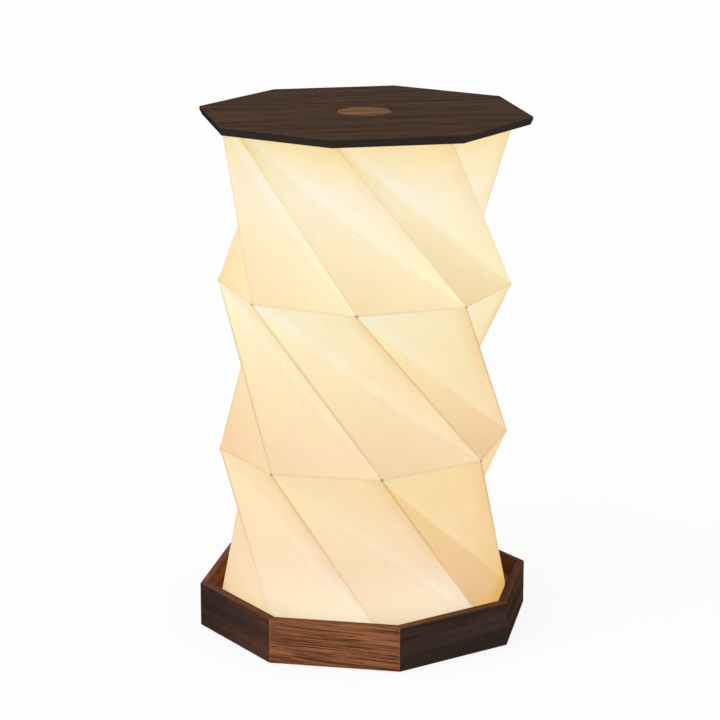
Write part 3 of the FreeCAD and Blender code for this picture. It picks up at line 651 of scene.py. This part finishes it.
def board_tone(tree, along, share, dark, light, drift):
    """A board's colour, which may grow paler towards its right end."""
    tone = blend(tree, share, dark, light)
    if not drift:
        return tone
    deeper = blend(tree, share, scaled_tone(dark, 1 - drift), scaled_tone(light, 1 - drift))
    return blend(tree, spread(tree, along, -STAVE_LENGTH / 2, STAVE_LENGTH / 2), deeper, tone)


def outward(tree):
    """The level direction away from the lamp's axis."""
    return vector_maths(tree, "NORMALIZE", level_place(tree))


def rim_tone(tree, tone, share, inside, through, normal):
    """A stave's colour, with painted glow on its top and inside, and a painted shadow on the top along the
    paper.
    """
    on_top = spread(tree, dot(tree, normal, UP), *TOP_FACING)
    facing_in = fade(tree, dot(tree, normal, outward(tree)), *INSIDE_FACING)
    # Painted glow on a stave's top and inside, where light falls on them
    painted_glow = maths(tree, "MAXIMUM", times(tree, on_top, PAINTED_GLOW_TOP), facing_in)
    painted_glow_dark, painted_glow_light = (scaled_tone(inside, level) for level in PAINTED_GLOW_TONES)
    tone = blend(tree, painted_glow, tone, blend(tree, share, painted_glow_dark, painted_glow_light))
    # Painted shadow on the stave's top along the paper
    paper_shadow = spread(tree, through, STAVE_MIDDLE, stave_high.y, 0.0, PAPER_SHADOW)
    return blend(tree, times(tree, paper_shadow, on_top), tone, scaled_tone(inside, PAPER_SHADOW_TONE))


def rim_wear_and_highlight(tree, rounded, rubbed_highlit_ends):
    """Where a stave's edges are paler, from use and painted highlight: outside along its top, and on some
    down the ends too.
    """
    outside = spread(tree, dot(tree, rounded, outward(tree)), 0.0, WEAR_HIGHLIGHT_BLUR)
    lowest = -WEAR_HIGHLIGHT_BLUR if rubbed_highlit_ends else 0.0
    upper = spread(tree, dot(tree, rounded, UP), lowest, lowest + WEAR_HIGHLIGHT_BLUR)
    return times(tree, outside, upper)


def add_oil(tree, shader, streaks):
    """A faint satin gloss that a low view does not catch."""
    feed(shader.inputs["Roughness"], spread(tree, streaks, *NOISE_RANGE, *OIL_ROUGHNESS))
    lean = tree.nodes.new("ShaderNodeLayerWeight")
    lean.inputs["Blend"].default_value = 0.5
    gloss = shader.inputs["Specular IOR Level"]
    # The plain level for a reader that leaves the link out
    gloss.default_value = PLAIN_GLOSS
    feed(gloss, fade(tree, lean.outputs["Facing"], *OIL_LEAN, OIL_GLOSS))


def wood(
    name, dark, light, turn=0.0, slant=0.0, shift=0.0, pore_depth=0.5, wave=0.0012,
    wear_and_highlight=0.25, ease=0.0006, inside=None, edge=None, drift=0.0, band_share=0.25, rubbed_highlit_ends=False,
):
    """Oiled wood with paler eased edges from use and painted highlight; a rim has painted glow on its top
    and inside, a lid painted shade on its edge.
    """
    made, tree, shader = new_material(name)
    place = board_place(tree, turn, slant)
    along, through, _ = split(tree, place)
    grain, streaks, pores = wood_grain(tree, place, shift, wave, band_share)
    share = spread(tree, grain, *GRAIN_RANGE)
    tone = board_tone(tree, along, share, dark, light, drift)
    normal = tree.nodes.new("ShaderNodeNewGeometry").outputs["Normal"]
    rounded = eased_edges(tree, ease)
    # Paler eased edges: partly from use, partly painted highlight
    worn_and_highlit = fade(tree, dot(tree, rounded, normal), *EDGE_FACING, wear_and_highlight)
    rubbed_and_highlit = scaled_tone(light, RUBBED_HIGHLIGHT_TONE)
    if inside:
        tone = rim_tone(tree, tone, share, inside, through, normal)
        worn_and_highlit = times(tree, worn_and_highlit, rim_wear_and_highlight(tree, rounded, rubbed_highlit_ends))
        rubbed_and_highlit = scaled_tone(inside, RUBBED_RIM_HIGHLIGHT_TONE)
    # Painted shade: a lid's side faces are darker than its top, with end grain on some of them
    if edge:
        tone = blend(tree, fade(tree, dot(tree, normal, UP), *LID_FACING), tone, edge)
    tone = blend(tree, times(tree, pores, pore_depth), tone, scaled_tone(dark, PORE_TONE))
    feed(shader.inputs["Base Color"], blend(tree, worn_and_highlit, tone, rubbed_and_highlit))
    add_oil(tree, shader, streaks)
    relief = maths(tree, "SUBTRACT", times(tree, streaks, 0.5), pores)
    feed(shader.inputs["Normal"], bump(tree, relief, strength=0.22, distance=0.00015, normal=rounded))
    return made


# Plastic, rubber and steel

def speckled(name, tone, roughness, grain=900.0, contrast=0.12, relief=0.08, metallic=0.0, glow=None):
    """A moulded, coated or plated surface with a fine even texture."""
    made, tree, shader = new_material(name)
    pattern = noise(tree, object_place(tree), grain, detail=3.0, roughness=0.6)
    dark = scaled_tone(tone, 1 - contrast)
    feed(shader.inputs["Base Color"], blend(tree, spread(tree, pattern, *NOISE_RANGE), dark, tone))
    dull, bright = roughness + SPECKLE_ROUGHNESS, roughness - SPECKLE_ROUGHNESS
    feed(shader.inputs["Roughness"], spread(tree, pattern, *NOISE_RANGE, dull, bright))
    shader.inputs["Metallic"].default_value = metallic
    feed(shader.inputs["Normal"], bump(tree, pattern, strength=relief, distance=0.0001))
    if glow:
        shader.inputs["Emission Color"].default_value = glow
        shader.inputs["Emission Strength"].default_value = 1.0
    return made


def deck_finish():
    """White moulding whose margin outside the sheet is stained like the rim."""
    made = speckled("white_plastic", (0.80, 0.79, 0.76, 1), 0.55)
    tree = made.node_tree
    base = tree.nodes["Principled BSDF"].inputs["Base Color"]
    plain = base.links[0].from_socket
    reach = vector_measure(tree, "LENGTH", level_place(tree))
    stained = spread(tree, reach, STAIN_FROM * APOTHEM, STAIN_FROM * APOTHEM + STAIN_BLUR)
    mottle = noise(tree, object_place(tree), scale=300.0, detail=3.0, roughness=0.6)
    stain = blend(tree, mottle, colour(84, 48, 30), colour(112, 66, 42))
    feed(base, blend(tree, stained, plain, stain))
    return made


def brushed(name, tone, roughness):
    """Plated steel with fine turned marks."""
    made, tree, shader = new_material(name)
    place = vector_maths(tree, "MULTIPLY", object_place(tree), BRUSH_SCALE)
    marks = noise(tree, place, roughness=0.6)
    feed(shader.inputs["Base Color"], blend(tree, marks, scaled_tone(tone, BRUSH_DARK), tone))
    dull, bright = (roughness + change for change in BRUSH_ROUGHNESS)
    feed(shader.inputs["Roughness"], spread(tree, marks, *NOISE_RANGE, dull, bright))
    shader.inputs["Metallic"].default_value = 1.0
    feed(shader.inputs["Normal"], bump(tree, marks, strength=0.08, distance=0.00005))
    return made


# Shade

def arch(share):
    """0 at both ends of a run and 1 in its middle."""
    return 4 * share * (1 - share)


def ring_corner(ring, corner):
    """A corner of a fold ring, counted up from the deck."""
    angle = math.radians(PITCH / 2 - OPEN_TWIST * ring + RING_TURN[ring] + PITCH * corner)
    x = SHADE_RADIUS * math.sin(angle)
    level = shade_low.z + ring * TIER_HEIGHT - RING_SAG[ring] + RING_LEAN[ring] * x / SHADE_RADIUS
    level = min(max(level, shade_low.z + GLUE_GAP), shade_high.z - GLUE_GAP)
    return Vector((x, -SHADE_RADIUS * math.cos(angle), level))


def panel_point(corners, across, up, softness):
    """A point of one panel between two mountain folds: two triangles that bend softly along the valley."""
    low, low_next, high, high_next = corners
    level = low.lerp(low_next, across).lerp(high.lerp(high_next, across), up)
    below = across * up
    above = (1 - across) * (1 - up)
    bend = softness * arch((across + 1 - up) / 2)
    depth = min(below, above)
    if bend > 0:
        depth -= max(bend - abs(below - above), 0) ** 2 / (4 * bend)
    return level - depth * (low - low_next - high + high_next)


def foot_bow(side, across, up):
    """How the lowest tier bows out between two of its corners at the tray."""
    direction = (ring_corner(0, side) + ring_corner(0, side + 1)) * Vector(LEVEL)
    return direction.normalized() * FOOT_BOW * arch(across) * (1 - up) ** 2


def sheet_point(tier, side, across, up):
    """A point of the folded sheet."""
    corners = [ring_corner(tier + rise, side + step) for rise in (0, 1) for step in (0, 1)]
    spot = panel_point(corners, across, up, VALLEY_SOFTNESS[tier])
    return spot if tier else spot + foot_bow(side, across, up)


def add_panel(work, tier, side):
    """One panel as a grid of triangles, with its place between the folds and on the flat sheet."""
    fold = work.loops.layers.uv["fold"]
    sheet = work.loops.layers.uv["sheet"]
    number = work.faces.layers.int["panel"]
    grid = [[work.verts.new(sheet_point(tier, side, across, up)) for across in STOPS] for up in STOPS]
    last = len(STOPS) - 1
    for row in range(last):
        for column in range(last):
            lower = [(row, column), (row, column + 1), (row + 1, column)]
            upper = [(row, column + 1), (row + 1, column + 1), (row + 1, column)]
            for places in (lower, upper):
                face = work.faces.new([grid[r][c] for r, c in places])
                face.smooth = True
                face[number] = tier * SIDES + side
                for loop, (r, c) in zip(face.loops, places):
                    across, up = STOPS[c], STOPS[r]
                    loop[fold].uv = (across, up)
                    loop[sheet].uv = (
                        (side + across) * CHORD + (tier + up) * FLAT_SHIFT,
                        (tier + up) * FLAT_HEIGHT,
                    )


def add_flange(work, ring):
    """The strip at one end of the sheet that is turned in and glued down."""
    number = work.faces.layers.int["panel"]
    tier, up = (ring, 0) if ring == 0 else (ring - 1, 1)
    inner_share = 1 - GLUE_FLANGE / APOTHEM
    inwards = Vector((inner_share, inner_share, 1))
    for side in range(SIDES):
        first, last = ring_corner(ring, side), ring_corner(ring, side + 1)
        outer = [sheet_point(tier, side, across, up) for across in STOPS]
        inner = [first.lerp(last, across) * inwards for across in STOPS]
        for here in range(len(STOPS) - 1):
            spots = [outer[here], outer[here + 1], inner[here + 1], inner[here]]
            face = work.faces.new([work.verts.new(spot) for spot in spots])
            face[number] = SIDES * (TIERS + 1 + ring) + side


def sheet_mesh():
    """The folded sheet, sharp along its folds."""
    work = bmesh.new()
    work.loops.layers.uv.new("fold")
    work.loops.layers.uv.new("sheet")
    number = work.faces.layers.int.new("panel")
    for tier in range(TIERS):
        for side in range(SIDES):
            add_panel(work, tier, side)
    for ring in (0, TIERS):
        add_flange(work, ring)
    bmesh.ops.remove_doubles(work, verts=work.verts, dist=WELD_REACH)
    for edge in work.edges:
        edge.smooth = len({face[number] for face in edge.link_faces}) == 1
    return new_mesh("shade_sheet", work)


def make_shade():
    """The folded sheet between the deck and the lid, set on the folds body."""
    mesh = sheet_mesh()
    mesh.materials.append(paper())
    shade = new_object("shade_sheet", mesh)
    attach(shade, "folds")
    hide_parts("shade")
    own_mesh(shade)


# Tray screws

def recess_cutter(long_axis, middle):
    """One bar of the cross, under each of the four screw heads."""
    work = bmesh.new()
    size = Vector((RECESS_WIDTH, RECESS_WIDTH, 2 * RECESS_DEPTH))
    size[long_axis] = RECESS_LENGTH
    for x in (-middle, middle):
        for y in (-middle, middle):
            place = Matrix.LocRotScale(Vector((x, y, screws_low.z)), None, size)
            bmesh.ops.create_cube(work, size=1.0, matrix=place)
    return new_object("recess", new_mesh("recess", work))


def make_tray_screws():
    """The screws under the tray, with a cross recess sunk in each head."""
    screws = new_object("tray_screws", nodes["bottom_screws"].data.copy())
    cutters = [recess_cutter(long_axis, screws_high.x - SCREW_HEAD_RADIUS) for long_axis in (0, 1)]
    for cutter in cutters:
        cut = screws.modifiers.new("recess", "BOOLEAN")
        cut.operation = "DIFFERENCE"
        cut.solver = "EXACT"
        cut.object = cutter
    view = bpy.context.evaluated_depsgraph_get()
    shaped = bpy.data.meshes.new_from_object(screws.evaluated_get(view))
    screws.modifiers.clear()
    screws.data = shaped
    for cutter in cutters:
        bpy.data.objects.remove(cutter)
    shaped.materials.clear()
    shaped.materials.append(brushed("tray_screw_steel", (0.50, 0.50, 0.51, 1), 0.38))
    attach(screws, "base")
    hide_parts("bottom_screws")


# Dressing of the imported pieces

def dress(material, *names):
    """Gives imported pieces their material."""
    for name in names:
        for slot in nodes[name].material_slots:
            slot.material = material


def dress_rim():
    """Walnut for the eight staves, each cut from its own board, its tones also painted lighter or darker by
    how light falls on each side.
    """
    # Dark and light of the outside, with painted light and shade; the top and inside, with painted glow;
    # then the grain's slant, drift, and the paler edges from use and painted highlight
    boards_with_painted_light = {
        1: (colour(71, 38, 23), colour(155, 98, 64), colour(112, 68, 42), 3, 0.0, 0.8),
        2: (colour(38, 27, 20), colour(60, 42, 33), colour(120, 74, 48), -3, 0.0, 0.35),
        3: (colour(52, 37, 29), colour(84, 60, 47), colour(92, 55, 38), 2, 0.2, 0.2),
        4: (colour(50, 35, 27), colour(82, 57, 43), colour(84, 50, 34), -4, 0.2, 0.2),
        5: (colour(62, 40, 28), colour(112, 75, 54), colour(100, 62, 42), 3, 0.0, 0.3),
        6: (colour(44, 33, 27), colour(70, 50, 40), colour(112, 71, 48), -2, 0.2, 0.2),
        7: (colour(48, 34, 27), colour(78, 54, 42), colour(118, 76, 55), 4, 0.0, 0.2),
        8: (colour(57, 34, 25), colour(82, 50, 37), colour(108, 69, 47), -2, 0.62, 0.2),
    }
    for number, (dark, light, inside, slant, drift, wear_and_highlight) in boards_with_painted_light.items():
        name = f"rim_stave_{number}"
        in_front = number == 1
        board = wood(
            name, dark, light, turn=(number - 1) * PITCH, slant=slant, shift=STAVE_SHIFT * number,
            pore_depth=0.2, wear_and_highlight=wear_and_highlight, ease=STAVE_EASE, inside=inside, drift=drift,
            band_share=0.2 if in_front else 0.5, rubbed_highlit_ends=in_front,
        )
        dress(board, name)


def dress_flat_wood():
    """Walnut for the lid and the button, and a paler wood for the panel under the tray."""
    # The lid's edge colour is painted shade on its side faces
    lid = wood(
        "lid_wood", colour(56, 42, 34), colour(89, 69, 57), turn=PITCH / 2, shift=0.7, pore_depth=0.3,
        wave=0.0005, wear_and_highlight=0.0, edge=colour(42, 33, 27),
    )
    dress(lid, "lid_plate")
    # Painted highlight on the button's eased edges
    cap = wood(
        "button_wood", colour(84, 60, 45), colour(140, 104, 78), turn=PITCH / 2, shift=1.9, pore_depth=0.35,
        wear_and_highlight=0.7, ease=CAP_EASE,
    )
    dress(cap, "button_cap")
    panel = wood("panel_wood", colour(104, 72, 50), colour(150, 112, 82), shift=2.6, pore_depth=0.4)
    dress(panel, "bottom_panel")


def dress_inner():
    """Finishes of the pieces inside and under the lamp."""
    dress(deck_finish(), "deck")
    black = speckled("black_plastic", (0.028, 0.028, 0.03, 1), 0.5, contrast=0.3)
    dress(black, "switch_pod", "tact_switch", "switch_plunger", "button_carrier", "board_parts")
    green = speckled("green_board", (0.03, 0.15, 0.065, 1), 0.35, grain=1500.0, contrast=0.25)
    dress(green, "control_board", "switch_board")
    white = speckled("white_board", (0.82, 0.82, 0.80, 1), 0.4, contrast=0.06)
    dress(white, "led_board")
    yellow = speckled("led_yellow", (0.85, 0.68, 0.18, 1), 0.4, contrast=0.1)
    dress(yellow, "led_chips")
    opal = speckled("opal_plastic", (0.85, 0.82, 0.76, 1), 0.35, glow=(0.9, 0.7, 0.42, 1))
    dress(opal, "led_diffuser")
    foil = speckled(
        "cell_foil", (0.56, 0.57, 0.59, 1), 0.38, grain=260.0, contrast=0.2, relief=0.25, metallic=0.6,
    )
    dress(foil, "battery_pack")
    foam = speckled("foam_tape", (0.74, 0.74, 0.71, 1), 0.9, grain=1400.0, contrast=0.2, relief=0.4)
    dress(foam, "battery_tape")
    rubber = speckled("foot_rubber", (0.035, 0.035, 0.036, 1), 0.85, grain=1100.0, contrast=0.3, relief=0.3)
    dress(rubber, "feet")
    bush = speckled("grommet_rubber", (0.68, 0.67, 0.64, 1), 0.8, grain=1100.0, contrast=0.15, relief=0.2)
    dress(bush, "lead_grommet")
    dress(brushed("screw_steel", (0.60, 0.60, 0.61, 1), 0.34), "board_screws", "pod_screws")
    dress(brushed("socket_steel", (0.66, 0.66, 0.68, 1), 0.28), "charge_socket")


# Stage

def camera_sees(tree):
    """1 where the eye looks straight at a surface, or at its mirror image or through glass."""
    path = tree.nodes.new("ShaderNodeLightPath")
    seen = maths(tree, "MAXIMUM", path.outputs["Is Camera Ray"], path.outputs["Is Glossy Ray"])
    return maths(tree, "MAXIMUM", seen, path.outputs["Is Transmission Ray"])


def floor_finish():
    """A matt white that is mostly its own light, so that only a soft shadow shows on it."""
    made, tree, shader = new_material("floor_white")
    mottle = noise(tree, object_place(tree), scale=6.0)
    feed(shader.inputs["Base Color"], blend(tree, mottle, (0.90, 0.90, 0.90, 1), (0.93, 0.93, 0.93, 1)))
    shader.inputs["Roughness"].default_value = 0.95
    shader.inputs["Specular IOR Level"].default_value = 0.0
    white = tree.nodes.new("ShaderNodeEmission")
    joined = tree.nodes.new("ShaderNodeMixShader")
    feed(joined.inputs[0], times(tree, camera_sees(tree), FLOOR_WHITE))
    feed(joined.inputs[1], shader.outputs[0])
    feed(joined.inputs[2], white.outputs[0])
    feed(tree.nodes["Material Output"].inputs["Surface"], joined.outputs[0])
    return made


def make_floor():
    """A wide white floor that keeps the lamp's soft shadow."""
    bpy.ops.mesh.primitive_plane_add(size=FLOOR_SIZE)
    floor = bpy.context.object
    floor.name = "floor"
    floor.data.materials.append(floor_finish())


def make_world():
    """An even pale surround: white to the eye, softer as light."""
    world = bpy.data.worlds.new("surround")
    bpy.context.scene.world = world
    world.use_nodes = True
    tree = world.node_tree
    strength = spread(tree, camera_sees(tree), 0.0, 1.0, SURROUND_LIGHT, 1.0)
    surround = tree.nodes["Background"]
    feed(surround.inputs["Strength"], strength)
    surround.inputs["Color"].default_value = (1, 1, 1, 1)


def make_lamp(name, azimuth, elevation, spread_angle, power):
    """A broad soft light from far off, its azimuth counted from the front to the right."""
    lamp = bpy.data.lights.new(name, "SUN")
    lamp.angle = math.radians(spread_angle)
    lamp.energy = power
    holder = new_object(name, lamp)
    holder.rotation_euler = (math.radians(90 - elevation), 0, math.radians(azimuth))


def make_camera():
    """The photograph's view."""
    azimuth, elevation = math.radians(CAMERA_AZIMUTH), math.radians(CAMERA_ELEVATION)
    back = Vector((
        math.sin(azimuth) * math.cos(elevation),
        -math.cos(azimuth) * math.cos(elevation),
        math.sin(elevation),
    ))
    data = bpy.data.cameras.new("camera")
    data.lens = CAMERA_LENS
    data.sensor_width = CAMERA_SENSOR
    camera = new_object("camera", data)
    camera.location = CAMERA_AIM + CAMERA_DISTANCE * back
    camera.rotation_euler = (-back).to_track_quat("-Z", "Y").to_euler()
    bpy.context.scene.camera = camera


make_shade()
make_tray_screws()
dress_rim()
dress_flat_wood()
dress_inner()
make_floor()
make_world()
make_lamp("key", azimuth=-42, elevation=48, spread_angle=55, power=1.15)
make_lamp("fill", azimuth=55, elevation=25, spread_angle=70, power=0.42)
make_camera()
bpy.context.scene.view_settings.view_transform = "Standard"
